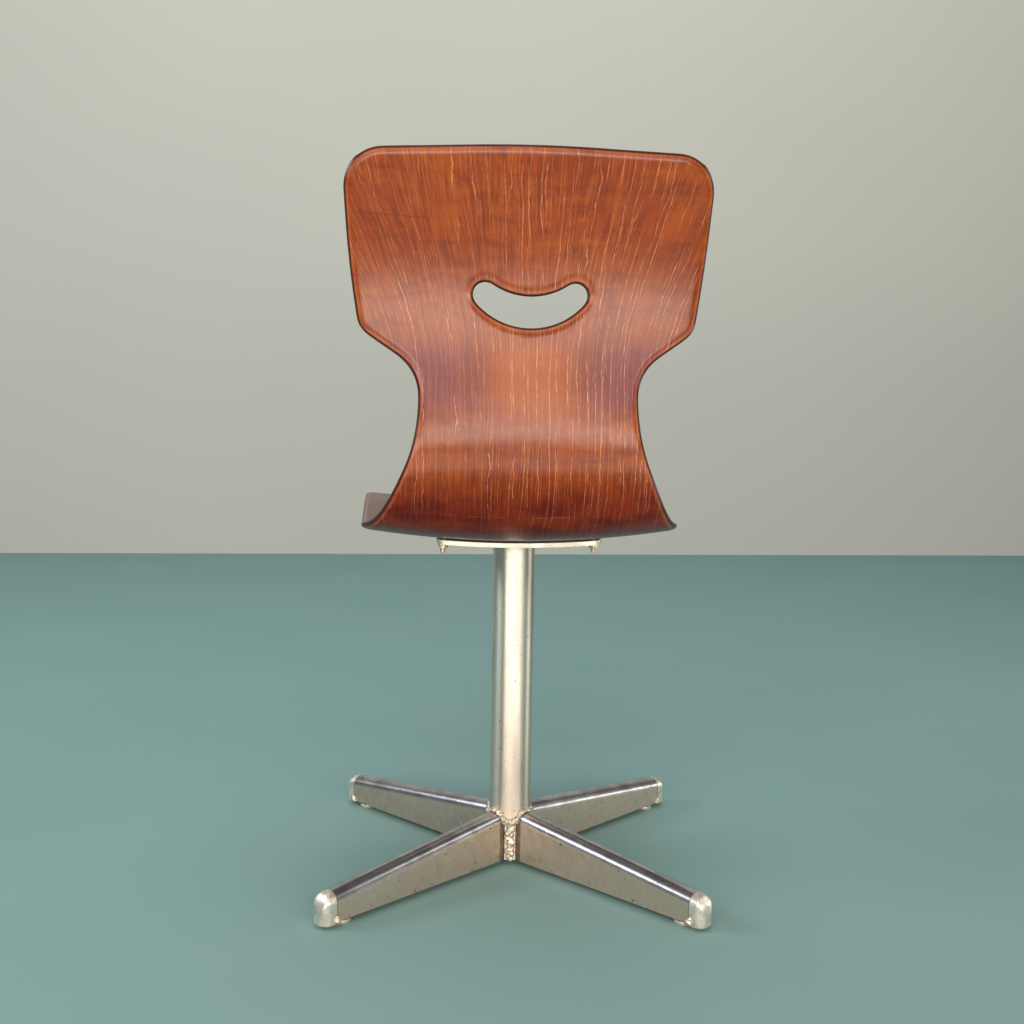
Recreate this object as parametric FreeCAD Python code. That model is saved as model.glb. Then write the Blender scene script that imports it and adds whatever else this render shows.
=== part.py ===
import FreeCAD, Part
import math
import os

from FreeCAD import Base

# A swivel chair: a one-piece moulded plywood shell on a four-armed steel pedestal.
# Millimetres. The origin is on the floor under the swivel axis, +Z is up, the sitter
# faces -Y and the sitter's left is +X. The seat turns without end about the Z axis.

# Plywood shell. A flat blank is measured by s, the distance along its middle line from
# the front edge of the seat to the top of the back, and by x, the distance across.
SHELL_THICKNESS = 9.0
SHELL_LENGTH = 763.0
BACK_HALF_WIDTH = 200.2
FRONT_Y = -210.8
FRONT_Z = 409.1
FRONT_SLOPE = 18.0
LIP_TURN, LIP_START, LIP_LENGTH = -21.5, 0.0, 70.0
HIP_TURN, HIP_START, HIP_LENGTH = 101.5, 241.5, 242.0
LUMBAR_TURN, LUMBAR_START, LUMBAR_LENGTH = -17.8, 505.0, 220.0
FRONT_DISH, SEAT_DISH, BACK_DISH = 2.4e-4, 4.4e-4, 7.5e-4
SEAT_DISH_AT = 150.0
BACK_DISH_START, BACK_DISH_LENGTH = 300.0, 250.0
SHELL_EDGE_ROUND = 3.0

# Corners of one side of the blank's outline: s, x and the radius of the corner.
SIDE_CORNERS = [
    (0.0, 179.0, 50.0),
    (298.5, 179.3, 50.0),
    (456.5, 119.0, 215.0),
    (528.5, 116.8, 53.0),
    (572.0, 181.3, 24.0),
    (640.0, 192.4, 900.0),
    (754.0, BACK_HALF_WIDTH, 43.0),
]
TOP_CROWN = (SHELL_LENGTH, 0.0, 1500.0)

# Hand-hold: a smile between two arcs with round ends, placed from its lowest point.
HOLD_LOW_S = 573.0
HOLD_LOWER_RADIUS = 77.0
HOLD_UPPER_RADIUS = 73.0
HOLD_HEIGHT = 33.0
HOLD_END_RADIUS = 13.0

# Steel plate under the seat, dished with it but straight from front to rear.
PLATE_THICKNESS = 5.0
PLATE_HALF_WIDTH = 94.0
PLATE_HALF_LENGTH = 75.0
PLATE_CORNER = 10.0
PLATE_GAP = 0.05

# M6 bolts through shell and plate.
BOLT_X = 86.0
BOLT_Y = 60.0
BOLT_RADIUS = 3.0
BOLT_HOLE_RADIUS = 3.3
BOLT_HEAD_RADIUS = 8.0
BOLT_HEAD_HEIGHT = 2.6
BOLT_BELOW_PLATE = 11.5
BOLT_CHAMFER = 0.6
SPOT_FACE_MARGIN = 0.2
WASHER_RADIUS = 6.4
WASHER_THICKNESS = 1.2
NUT_ACROSS_FLATS = 10.0
NUT_HEIGHT = 5.0
NUT_CHAMFER = 0.7

# Pedestal column.
COLUMN_RADIUS = 25.0
COLUMN_WALL = 2.0
COLUMN_BORE = COLUMN_RADIUS - COLUMN_WALL
COLUMN_BOTTOM = 7.0
COLUMN_TOP = 388.0

# Arms: inverted channels with round tops that slope down to the ends.
ARM_WIDTH = 25.0
ARM_WALL = 2.0
ARM_BOTTOM = 7.0
ARM_INNER_R = 20.0
ARM_SEAM_R = 279.7
RIDGE_AT_COLUMN = 66.6
RIDGE_AT_SEAM = 39.9
ARM_ANGLES = {"rear_left": 41.6, "rear_right": 131.6, "front_right": 221.6, "front_left": 311.6}

# End caps: a nose that stands upright for CAP_STRAIGHT and then domes over to the ridge.
CAP_LENGTH = 17.0
CAP_BOTTOM = 4.0
CAP_STRAIGHT = 11.0
CAP_CORNER = 10.0
CAP_BLEND = 5.0
CAP_FOOT_ROUND = 1.5
SPIGOT_LENGTH = 16.0
SPIGOT_CLEARANCE = 0.2

GLIDE_R = 264.0
GLIDE_RADIUS = 11.0
GLIDE_HEIGHT = 5.0
GLIDE_STEM_RADIUS = 4.0
BRIDGE_LENGTH = 18.0
BRIDGE_BOTTOM = 14.0
BRIDGE_THICKNESS = 3.0

TACK_RADIUS = 3.2
TACK_HEIGHT = 9.0
TACK_ROUND = 1.2
WELD_RADIUS = 6.5
COLLAR_THICKNESS = 4.0
COLLAR_TOE = 0.3
COLLAR_REACH = 6.0
COLLAR_DEPTH = 22.0
WELD_TOP = 50.0

# Swivel: a spindle in two nylon bushes.
SPINDLE_RADIUS = 15.0
SPINDLE_BORE = 12.5
SPINDLE_BOTTOM = 12.0
BUSH_CLEARANCE = 0.06
BUSH_BORE = SPINDLE_RADIUS + BUSH_CLEARANCE
BUSH_LENGTH = 34.0
BUSH_FLANGE = 2.0
LOWER_BUSH_BOTTOM = 20.0
THRUST_WASHER_THICKNESS = 1.5
THRUST_WASHER_RADIUS = 24.0
WASHER_CLEARANCE = 0.3
HEAD_RADIUS = 22.0
HEAD_CLEARANCE = 0.1
HEAD_WELD_LEG = 4.0
CIRCLIP_THICKNESS = 1.4
CIRCLIP_RADIUS = 18.5
CIRCLIP_GROOVE_DEPTH = 0.8
RETAINING_WASHER_THICKNESS = 1.6
RETAINING_WASHER_RADIUS = 20.0

# Spacing of the formed surfaces' control points, and how far the surfaces run past the
# blank; STEP is the spacing of the table that holds the middle line.
GRID_STEP = 20.0
GRID_MARGIN = 60.0
STEP = 1.0


def smooth(t):
    """Ease from 0 to 1 with level ends."""
    t = min(max(t, 0.0), 1.0)
    return t * t * (3.0 - 2.0 * t)


def heading(s):
    """Angle of the shell's middle line above the horizontal, in radians."""
    angle = FRONT_SLOPE
    angle += LIP_TURN * smooth((s - LIP_START) / LIP_LENGTH)
    angle += HIP_TURN * smooth((s - HIP_START) / HIP_LENGTH)
    angle += LUMBAR_TURN * smooth((s - LUMBAR_START) / LUMBAR_LENGTH)
    return math.radians(angle)


def middle_line(first, last):
    """Middle line as a table of (y, z) at every STEP from s = first to s = last."""
    line = {0: (FRONT_Y, FRONT_Z)}
    for direction, stop in ((1, last), (-1, first)):
        y, z = FRONT_Y, FRONT_Z
        for index in range(int(abs(stop) / STEP)):
            middle = direction * (index + 0.5) * STEP
            y += direction * STEP * math.cos(heading(middle))
            z += direction * STEP * math.sin(heading(middle))
            line[direction * (index + 1)] = (y, z)
    return line


MIDDLE_LINE = middle_line(-2 * GRID_MARGIN, SHELL_LENGTH + 2 * GRID_MARGIN)


def dish(s):
    """How strongly the shell curves across, per millimetre."""
    front = FRONT_DISH + (SEAT_DISH - FRONT_DISH) * smooth(s / SEAT_DISH_AT)
    return front + (BACK_DISH - SEAT_DISH) * smooth((s - BACK_DISH_START) / BACK_DISH_LENGTH)


def shell_point(s, x, height):
    """Point of the shell at s and x on the blank, height above its middle surface."""
    y, z = MIDDLE_LINE[round(s / STEP)]
    rise = dish(s) * x * x + height
    return Base.Vector(x, y - math.sin(heading(s)) * rise, z + math.cos(heading(s)) * rise)


AXIS_S = STEP * min(range(int(HIP_START)), key=lambda index: abs(MIDDLE_LINE[index][0]))
PLATE_SLOPE = heading(AXIS_S)


def plate_point(y, x, height):
    """Point of the plate, height above the shell's middle surface at the axis."""
    centre_y, centre_z = MIDDLE_LINE[round(AXIS_S / STEP)]
    rise = SEAT_DISH * x * x + height
    along = (y - centre_y) / math.cos(PLATE_SLOPE)
    z = centre_z + along * math.sin(PLATE_SLOPE)
    return Base.Vector(x, y - math.sin(PLATE_SLOPE) * rise, z + math.cos(PLATE_SLOPE) * rise)


def spline_surface(point, height, along, across):
    """Cubic surface through point(u, v, height), whose parameters are u and v themselves."""
    grids = []
    for low, high in (along, across):
        count = int(round((high - low) / GRID_STEP))
        grids.append([low + (high - low) * index / count for index in range(count + 1)])

    def abscissae(knots):
        padded = [knots[0]] * 3 + knots + [knots[-1]] * 3
        return [sum(padded[index + 1:index + 4]) / 3.0 for index in range(len(knots) + 2)]

    u_list = abscissae(grids[0])
    v_list = abscissae(grids[1])
    net = [[point(round(u), v, height) for v in v_list] for u in u_list]
    poles = sharpen(net)
    poles = [list(column) for column in zip(*sharpen([list(column) for column in zip(*poles)]))]
    mults = [[4] + [1] * (len(knots) - 2) + [4] for knots in grids]
    surface = Part.BSplineSurface()
    surface.buildFromPolesMultsKnots(poles, mults[0], mults[1], grids[0], grids[1], False, False, 3, 3)
    return surface


def sharpen(rows):
    """Move control rows outward so that the cubic surface passes through the samples."""
    result = [rows[0], rows[1]]
    for before, here, after in zip(rows[1:-3], rows[2:-2], rows[3:-1]):
        result.append([(h * 8.0 - b - a) / 6.0 for b, h, a in zip(before, here, after)])
    return result + rows[-2:]


def arc_between(start, middle, end):
    """Flat arc through three points, as a 2-D curve."""
    return Part.Geom2d.ArcOfCircle2d(Base.Vector2d(*start), Base.Vector2d(*middle), Base.Vector2d(*end))


def rounded_loop(corners):
    """Closed flat outline of straight lines and corner arcs."""
    arcs = []
    for index, (u, v, radius) in enumerate(corners):
        corner = Base.Vector(u, v, 0)
        before = (Base.Vector(*corners[index - 1][:2], 0) - corner).normalize()
        after = (Base.Vector(*corners[(index + 1) % len(corners)][:2], 0) - corner).normalize()
        half = before.getAngle(after) / 2.0
        bisector = (before + after).normalize()
        tangent = radius / math.tan(half)
        nearest = bisector * (radius / math.sin(half) - radius)
        arcs.append([corner + before * tangent, corner + nearest, corner + after * tangent])
    loop = []
    for index, (start, middle, end) in enumerate(arcs):
        following = arcs[(index + 1) % len(arcs)][0]
        loop.append(arc_between((start.x, start.y), (middle.x, middle.y), (end.x, end.y)))
        if (following - end).Length > 0.01:
            line = Part.Geom2d.Line2dSegment(Base.Vector2d(end.x, end.y),
                                             Base.Vector2d(following.x, following.y))
            loop.append(line)
    return loop


def hold_loop():
    """Outline of the hand-hold: lower arc, round end, upper arc, round end."""
    low_y = HOLD_LOWER_RADIUS
    high_y = HOLD_HEIGHT + HOLD_UPPER_RADIUS
    low_reach = HOLD_LOWER_RADIUS - HOLD_END_RADIUS
    high_reach = HOLD_UPPER_RADIUS + HOLD_END_RADIUS
    end_y = (high_y ** 2 - low_y ** 2 - high_reach ** 2 + low_reach ** 2) / (2.0 * (high_y - low_y))
    end_x = math.sqrt(low_reach ** 2 - (end_y - low_y) ** 2)
    low_angle = math.atan2(end_y - low_y, end_x)
    high_angle = math.atan2(high_y - end_y, -end_x)

    def at(side, centre_x, centre_y, radius, angle):
        return (HOLD_LOW_S + centre_y + radius * math.sin(angle),
                side * (centre_x + radius * math.cos(angle)))

    middle_angle = (low_angle + high_angle) / 2.0
    right = [at(1, end_x, end_y, HOLD_END_RADIUS, angle) for angle in (low_angle, middle_angle, high_angle)]
    left = [(s, -x) for s, x in right]
    bottom = (HOLD_LOW_S, 0.0)
    top = (HOLD_LOW_S + HOLD_HEIGHT, 0.0)
    return [
        arc_between(left[0], bottom, right[0]),
        arc_between(right[0], right[1], right[2]),
        arc_between(right[2], top, left[2]),
        arc_between(left[2], left[1], left[0]),
    ]


def sheet_solid(point, bottom, top, along, across, loops):
    """Solid between two heights of a formed sheet, cut to the flat loops."""
    faces = []
    edge_sets = []
    for height in (bottom, top):
        surface = spline_surface(point, height, along, across)
        edges = [[curve.toShape(surface) for curve in loop] for loop in loops]
        wires = [Part.Wire(group) for group in edges]
        face = Part.Face(surface, wires[0])
        if wires[1:]:
            face.cutHoles(wires[1:])
            face.validate()
        faces.append(face)
        edge_sets.append(edges)
    for low_group, high_group in zip(*edge_sets):
        for low_edge, high_edge in zip(low_group, high_group):
            faces.append(Part.makeRuledSurface(low_edge, high_edge))
    shell = Part.makeShell(faces)
    shell.sewShape()
    solid = Part.Solid(shell)
    if solid.Volume < 0:
        solid.reverse()
    return solid


def spline_span(low, high):
    """Range of a formed surface: low to high with a margin, in whole grid steps."""
    count = math.ceil((high - low + 2 * GRID_MARGIN) / GRID_STEP)
    start = low - GRID_MARGIN
    return start, start + count * GRID_STEP


def bolt_hole(place, down):
    """Clearance hole of one bolt."""
    return Part.makeCylinder(BOLT_HOLE_RADIUS, 60.0, place + down * 30.0, -down)


def seat_bolt_places():
    """Middle of each bolt at the underside of the plate, and the way it points down."""
    places = []
    for side in (-1, 1):
        for end in (-1, 1):
            x = side * BOLT_X
            lean = 2.0 * SEAT_DISH * x
            down = Base.Vector(lean, math.sin(PLATE_SLOPE), -math.cos(PLATE_SLOPE)).normalize()
            places.append((plate_point(end * BOLT_Y, x, PLATE_TOP - PLATE_THICKNESS), down))
    return places


PLATE_TOP = -SHELL_THICKNESS / 2.0 - PLATE_GAP
BOLT_GRIP = SHELL_THICKNESS + PLATE_GAP + PLATE_THICKNESS


def seat_shell():
    """Moulded plywood seat and back in one piece, with its hand-hold and bolt holes."""
    mirrored = [(s, -x, radius) for s, x, radius in reversed(SIDE_CORNERS)]
    outline = rounded_loop(SIDE_CORNERS + [TOP_CROWN] + mirrored)
    across = spline_span(-BACK_HALF_WIDTH, BACK_HALF_WIDTH)
    along = spline_span(0.0, SHELL_LENGTH)
    half = SHELL_THICKNESS / 2.0
    solid = sheet_solid(shell_point, -half, half, along, across, [outline, hold_loop()])
    widest = sorted(solid.Faces, key=lambda face: face.Area)[-2:]
    rims = [edge for face in widest for edge in face.Edges]
    solid = solid.makeFillet(SHELL_EDGE_ROUND, rims)
    for place, down in seat_bolt_places():
        seat = Part.makeCylinder(BOLT_HEAD_RADIUS + SPOT_FACE_MARGIN, 20.0, place - down * BOLT_GRIP, -down)
        solid = solid.cut(bolt_hole(place, down)).cut(seat)
    return solid


def seat_plate():
    """Steel plate that joins the shell to the spindle."""
    corners = [
        (-PLATE_HALF_LENGTH, -PLATE_HALF_WIDTH, PLATE_CORNER),
        (-PLATE_HALF_LENGTH, PLATE_HALF_WIDTH, PLATE_CORNER),
        (PLATE_HALF_LENGTH, PLATE_HALF_WIDTH, PLATE_CORNER),
        (PLATE_HALF_LENGTH, -PLATE_HALF_WIDTH, PLATE_CORNER),
    ]
    along = spline_span(-PLATE_HALF_LENGTH, PLATE_HALF_LENGTH)
    across = spline_span(-PLATE_HALF_WIDTH, PLATE_HALF_WIDTH)
    bottom = PLATE_TOP - PLATE_THICKNESS
    solid = sheet_solid(plate_point, bottom, PLATE_TOP, along, across, [rounded_loop(corners)])
    for place, down in seat_bolt_places():
        solid = solid.cut(bolt_hole(place, down))
    return solid


def placed(shape, place, down):
    """Shape modelled about Z, moved so that its origin is at place and its Z runs down."""
    shape.Placement = Base.Placement(place, Base.Rotation(Base.Vector(0, 0, 1), down))
    return shape


def seat_bolt():
    """Bolt with a low domed head and a chamfered end; z = 0 is the underside of the plate."""
    crown = Base.Vector(0, 0, -BOLT_GRIP - BOLT_HEAD_HEIGHT)
    shoulder = Base.Vector(BOLT_HEAD_RADIUS * 0.6, 0, -BOLT_GRIP - BOLT_HEAD_HEIGHT * 0.7)
    rim = Base.Vector(BOLT_HEAD_RADIUS, 0, -BOLT_GRIP)
    corners = [
        rim,
        Base.Vector(BOLT_RADIUS, 0, -BOLT_GRIP),
        Base.Vector(BOLT_RADIUS, 0, BOLT_BELOW_PLATE - BOLT_CHAMFER),
        Base.Vector(BOLT_RADIUS - BOLT_CHAMFER, 0, BOLT_BELOW_PLATE),
        Base.Vector(0, 0, BOLT_BELOW_PLATE),
        crown,
    ]
    edges = [Part.Arc(crown, shoulder, rim).toShape()]
    edges += [Part.LineSegment(start, end).toShape() for start, end in zip(corners, corners[1:])]
    profile = Part.Face(Part.Wire(edges))
    return profile.revolve(Base.Vector(0, 0, 0), Base.Vector(0, 0, 1), 360.0)


def seat_bolts():
    """Four bolts with their heads on the sitter's face of the shell."""
    return Part.makeCompound([placed(seat_bolt(), place, down) for place, down in seat_bolt_places()])


def seat_washers():
    """Plain washers between the plate and the nuts."""
    washer = ring(WASHER_RADIUS, BOLT_HOLE_RADIUS, 0.0, WASHER_THICKNESS)
    return Part.makeCompound([placed(washer.copy(), place, down) for place, down in seat_bolt_places()])


def seat_nut():
    """Hexagon nut with a chamfered lower face, standing on z = 0."""
    corner_radius = NUT_ACROSS_FLATS / math.sqrt(3.0)
    angles = [math.radians(60.0 * index) for index in range(7)]
    points = [Base.Vector(corner_radius * math.cos(a), corner_radius * math.sin(a), 0) for a in angles]
    prism = Part.Face(Part.makePolygon(points)).extrude(Base.Vector(0, 0, NUT_HEIGHT))
    height = 2.0 * corner_radius
    small_end = corner_radius - NUT_CHAMFER
    cone = Part.makeCone(small_end + height, small_end, height, Base.Vector(0, 0, NUT_HEIGHT - height))
    return prism.common(cone).cut(Part.makeCylinder(BOLT_RADIUS, NUT_HEIGHT))


def seat_nuts():
    """Four nuts under the washers."""
    nuts = []
    for place, down in seat_bolt_places():
        nuts.append(placed(seat_nut(), place + down * WASHER_THICKNESS, down))
    return Part.makeCompound(nuts)


def ring(outer, inner, bottom, height):
    """Flat ring about the swivel axis."""
    disc = Part.makeCylinder(outer, height, Base.Vector(0, 0, bottom))
    return disc.cut(Part.makeCylinder(inner, height, Base.Vector(0, 0, bottom)))


def column_tube():
    """Welded steel tube of the pedestal."""
    return ring(COLUMN_RADIUS, COLUMN_BORE, COLUMN_BOTTOM, COLUMN_TOP - COLUMN_BOTTOM)


def upper_bush():
    """Nylon bush with a flange on the rim of the column."""
    body = ring(COLUMN_BORE, BUSH_BORE, COLUMN_TOP - BUSH_LENGTH, BUSH_LENGTH)
    flange = ring(COLUMN_RADIUS, BUSH_BORE, COLUMN_TOP, BUSH_FLANGE)
    return body.fuse(flange).removeSplitter()


def lower_bush():
    """Nylon bush pressed into the foot of the column."""
    return ring(COLUMN_BORE, BUSH_BORE, LOWER_BUSH_BOTTOM, BUSH_LENGTH)


THRUST_WASHER_BOTTOM = COLUMN_TOP + BUSH_FLANGE
HEAD_BOTTOM = THRUST_WASHER_BOTTOM + THRUST_WASHER_THICKNESS + HEAD_CLEARANCE
RETAINING_WASHER_BOTTOM = LOWER_BUSH_BOTTOM - RETAINING_WASHER_THICKNESS - HEAD_CLEARANCE
CIRCLIP_BOTTOM = RETAINING_WASHER_BOTTOM - CIRCLIP_THICKNESS


def thrust_washer():
    """Hard washer that carries the sitter's weight."""
    inner = SPINDLE_RADIUS + WASHER_CLEARANCE
    return ring(THRUST_WASHER_RADIUS, inner, THRUST_WASHER_BOTTOM, THRUST_WASHER_THICKNESS)


def retaining_washer():
    """Washer between the lower bush and the circlip."""
    return ring(RETAINING_WASHER_RADIUS, BUSH_BORE, RETAINING_WASHER_BOTTOM, RETAINING_WASHER_THICKNESS)


def circlip():
    """Open retaining ring in the spindle's groove."""
    inner = SPINDLE_RADIUS - CIRCLIP_GROOVE_DEPTH
    closed = ring(CIRCLIP_RADIUS, inner, CIRCLIP_BOTTOM, CIRCLIP_THICKNESS)
    gap = Part.makeBox(6.0, CIRCLIP_RADIUS, CIRCLIP_THICKNESS, Base.Vector(-3.0, 0, CIRCLIP_BOTTOM))
    return closed.cut(gap)


def spindle_tube():
    """Steel tube that turns in the bushes, grooved for the circlip."""
    tube = ring(SPINDLE_RADIUS, SPINDLE_BORE, SPINDLE_BOTTOM, HEAD_BOTTOM - SPINDLE_BOTTOM)
    groove = ring(SPINDLE_RADIUS, SPINDLE_RADIUS - CIRCLIP_GROOVE_DEPTH, CIRCLIP_BOTTOM, CIRCLIP_THICKNESS)
    return tube.cut(groove)


def above_plate():
    """Block that fills everything above the underside of the plate near the axis."""
    reach = 2.0 * HEAD_RADIUS
    corners = [(-reach, -reach, 1.0), (-reach, reach, 1.0), (reach, reach, 1.0), (reach, -reach, 1.0)]
    span = spline_span(-reach, reach)
    bottom = PLATE_TOP - PLATE_THICKNESS
    return sheet_solid(plate_point, bottom, 40.0, span, span, [rounded_loop(corners)])


def spindle_head():
    """Disc on the spindle whose top fits the underside of the plate."""
    disc = Part.makeCylinder(HEAD_RADIUS, 20.0, Base.Vector(0, 0, HEAD_BOTTOM))
    return disc.cut(above_plate())


def head_weld():
    """Fillet weld between the spindle head and the plate."""
    top = plate_point(0.0, 0.0, PLATE_TOP - PLATE_THICKNESS).z
    bottom = top - HEAD_WELD_LEG
    bead = Part.makeCone(HEAD_RADIUS, HEAD_RADIUS + 2.0 * HEAD_WELD_LEG, 2.0 * HEAD_WELD_LEG,
                         Base.Vector(0, 0, bottom))
    core = Part.makeCylinder(HEAD_RADIUS, 40.0, Base.Vector(0, 0, bottom - 10.0))
    return bead.cut(core).cut(above_plate())


def arm_section(r, inset, bottom):
    """Upright outline across an arm at distance r from the axis: a channel with a round top."""
    fall = (RIDGE_AT_COLUMN - RIDGE_AT_SEAM) / (ARM_SEAM_R - COLUMN_RADIUS)
    ridge = RIDGE_AT_SEAM + (ARM_SEAM_R - r) * fall - inset
    half = ARM_WIDTH / 2.0 - inset
    left = Base.Vector(r, -half, ridge - half)
    crown = Base.Vector(r, 0, ridge)
    right = Base.Vector(r, half, ridge - half)
    low_left = Base.Vector(r, -half, bottom)
    low_right = Base.Vector(r, half, bottom)
    edges = [
        Part.LineSegment(low_left, left).toShape(),
        Part.Arc(left, crown, right).toShape(),
        Part.LineSegment(right, low_right).toShape(),
        Part.LineSegment(low_right, low_left).toShape(),
    ]
    return Part.Wire(edges)


def arm_block(first, last, inset, bottom):
    """Solid of the arm's section between two distances from the axis."""
    return Part.makeLoft([arm_section(first, inset, bottom), arm_section(last, inset, bottom)], True, True)


def arm():
    """One arm along +X: a folded channel, open below, coped to the column."""
    outside = arm_block(ARM_INNER_R, ARM_SEAM_R, 0.0, ARM_BOTTOM)
    inside = arm_block(ARM_INNER_R - 1.0, ARM_SEAM_R + 1.0, ARM_WALL, ARM_BOTTOM - 1.0)
    column = Part.makeCylinder(COLUMN_RADIUS, 100.0)
    return outside.cut(inside).cut(column)


def cap_side():
    """Side outline of an end cap, spread across the arm: upright nose under a quarter ellipse."""
    tip = ARM_SEAM_R + CAP_LENGTH
    spring = CAP_BOTTOM + CAP_STRAIGHT
    centre = Base.Vector(ARM_SEAM_R, -ARM_WIDTH, spring)
    crown = Base.Vector(ARM_SEAM_R, -ARM_WIDTH, RIDGE_AT_SEAM)
    nose = Base.Vector(tip, -ARM_WIDTH, spring)
    foot = Base.Vector(tip, -ARM_WIDTH, CAP_BOTTOM)
    heel = Base.Vector(ARM_SEAM_R, -ARM_WIDTH, CAP_BOTTOM)
    dome = Part.ArcOfEllipse(Part.Ellipse(crown, nose, centre), 0.0, math.pi / 2.0).toShape()
    straight = [(nose, foot), (foot, heel), (heel, crown)]
    lines = [Part.LineSegment(start, end).toShape() for start, end in straight]
    return Part.Face(Part.Wire([dome] + lines)).extrude(Base.Vector(0, 2.0 * ARM_WIDTH, 0))


def cap_plan():
    """Upright prism over the plan of an end cap, with its two outer corners rounded."""
    half = ARM_WIDTH / 2.0
    corner = Base.Vector(ARM_SEAM_R, -half, 0)
    prism = Part.makeBox(CAP_LENGTH, ARM_WIDTH, 60.0, corner)
    outer = [edge for edge in prism.Edges if edge.BoundBox.XMin > ARM_SEAM_R + 1.0]
    return prism.makeFillet(CAP_CORNER, [edge for edge in outer if edge.BoundBox.ZLength > 1.0])


def end_cap():
    """Cast end of an arm, shaped like a thumb, with a spigot that plugs the channel."""
    body = arm_block(ARM_SEAM_R, ARM_SEAM_R + CAP_LENGTH, 0.0, CAP_BOTTOM)
    body = body.common(cap_side()).common(cap_plan()).removeSplitter()
    outer = [edge for edge in body.Edges if edge.BoundBox.XMax > ARM_SEAM_R + 1.0]
    top = [edge for edge in outer if edge.BoundBox.ZMax > CAP_BOTTOM + CAP_STRAIGHT + 1.0]
    body = body.makeFillet(CAP_BLEND, top)
    outer = [edge for edge in body.Edges if edge.BoundBox.XMax > ARM_SEAM_R + 1.0]
    body = body.makeFillet(CAP_FOOT_ROUND, [edge for edge in outer if edge.BoundBox.ZMax < CAP_BOTTOM + 0.1])
    inset = ARM_WALL + SPIGOT_CLEARANCE
    spigot = arm_block(ARM_SEAM_R - SPIGOT_LENGTH, ARM_SEAM_R, inset, BRIDGE_TOP + 1.0)
    return body.fuse(spigot).removeSplitter()


BRIDGE_TOP = BRIDGE_BOTTOM + BRIDGE_THICKNESS


def glide_bridge():
    """Strip welded across the channel that the glide's stem goes through."""
    half = ARM_WIDTH / 2.0 - ARM_WALL
    corner = Base.Vector(GLIDE_R - BRIDGE_LENGTH / 2.0, -half, BRIDGE_BOTTOM)
    strip = Part.makeBox(BRIDGE_LENGTH, 2.0 * half, BRIDGE_THICKNESS, corner)
    return strip.cut(Part.makeCylinder(GLIDE_STEM_RADIUS, 40.0, Base.Vector(GLIDE_R, 0, 0)))


def glide():
    """Floor glide: a domed disc on a stem."""
    place = Base.Vector(GLIDE_R, 0, 0)
    disc = Part.makeCylinder(GLIDE_RADIUS, GLIDE_HEIGHT, place)
    disc = disc.makeFillet(1.5, disc.Edges)
    stem = Part.makeCylinder(GLIDE_STEM_RADIUS, BRIDGE_TOP, place)
    return disc.fuse(stem).removeSplitter()


def cap_tacks():
    """Tack welds at the lower corners of the seams between the arms and their end caps."""
    tacks = []
    inside = Part.makeBox(40.0, ARM_WIDTH, 40.0, Base.Vector(ARM_SEAM_R - 20.0, -ARM_WIDTH / 2.0, 0))
    for side in (-1, 1):
        place = Base.Vector(ARM_SEAM_R, side * ARM_WIDTH / 2.0, CAP_BOTTOM + CAP_FOOT_ROUND)
        tack = Part.makeCylinder(TACK_RADIUS, TACK_HEIGHT, place)
        tack = tack.makeFillet(TACK_ROUND, tack.Edges).cut(inside)
        tacks += [turned(tack, angle) for angle in ARM_ANGLES.values()]
    return Part.makeCompound(tacks)


def hub_welds():
    """Weld over the tops of the arms and down the column in the corners between them."""
    column = Part.makeCylinder(COLUMN_RADIUS, 100.0)
    height = RIDGE_AT_COLUMN - COLLAR_DEPTH
    heel = arm_section(ARM_INNER_R, -COLLAR_THICKNESS, height)
    toe = arm_section(COLUMN_RADIUS + COLLAR_REACH, -COLLAR_TOE, height)
    collar = Part.makeLoft([heel, toe], True, True)
    weld = None
    for angle in ARM_ANGLES.values():
        middle = math.radians(angle + 45.0)
        place = Base.Vector(COLUMN_RADIUS * math.cos(middle), COLUMN_RADIUS * math.sin(middle), ARM_BOTTOM)
        bead = Part.makeCylinder(WELD_RADIUS, WELD_TOP - ARM_BOTTOM, place)
        pieces = [turned(collar, angle), bead]
        weld = weld.multiFuse(pieces) if weld else pieces[0].fuse(pieces[1])
    weld = weld.removeSplitter().cut(column)
    for angle in ARM_ANGLES.values():
        weld = weld.cut(turned(arm_block(ARM_INNER_R, ARM_SEAM_R, 0.0, 0.0), angle))
    return weld


def turned(shape, angle):
    """Copy of a shape turned about the swivel axis."""
    copy = shape.copy()
    copy.rotate(Base.Vector(0, 0, 0), Base.Vector(0, 0, 1), angle)
    return copy


def all_parts():
    """Every sub-part by name."""
    parts = {
        "column_tube": column_tube(),
        "hub_welds": hub_welds(),
        "cap_tacks": cap_tacks(),
        "upper_bush": upper_bush(),
        "lower_bush": lower_bush(),
        "thrust_washer": thrust_washer(),
        "spindle_tube": spindle_tube(),
        "spindle_head": spindle_head(),
        "head_weld": head_weld(),
        "retaining_washer": retaining_washer(),
        "circlip": circlip(),
        "seat_plate": seat_plate(),
        "seat_shell": seat_shell(),
        "seat_bolts": seat_bolts(),
        "seat_washers": seat_washers(),
        "seat_nuts": seat_nuts(),
    }
    for corner, angle in ARM_ANGLES.items():
        parts[corner + "_arm"] = turned(arm(), angle)
        parts[corner + "_end_cap"] = turned(end_cap(), angle)
        parts[corner + "_glide"] = turned(glide(), angle)
        parts[corner + "_glide_bridge"] = turned(glide_bridge(), angle)
    return parts


os.makedirs("parts", exist_ok=True)
for name, shape in all_parts().items():
    shape.exportStep("parts/" + name + ".step")
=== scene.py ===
import math

import bpy
import numpy as np
from mathutils import Matrix, Vector


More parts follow.
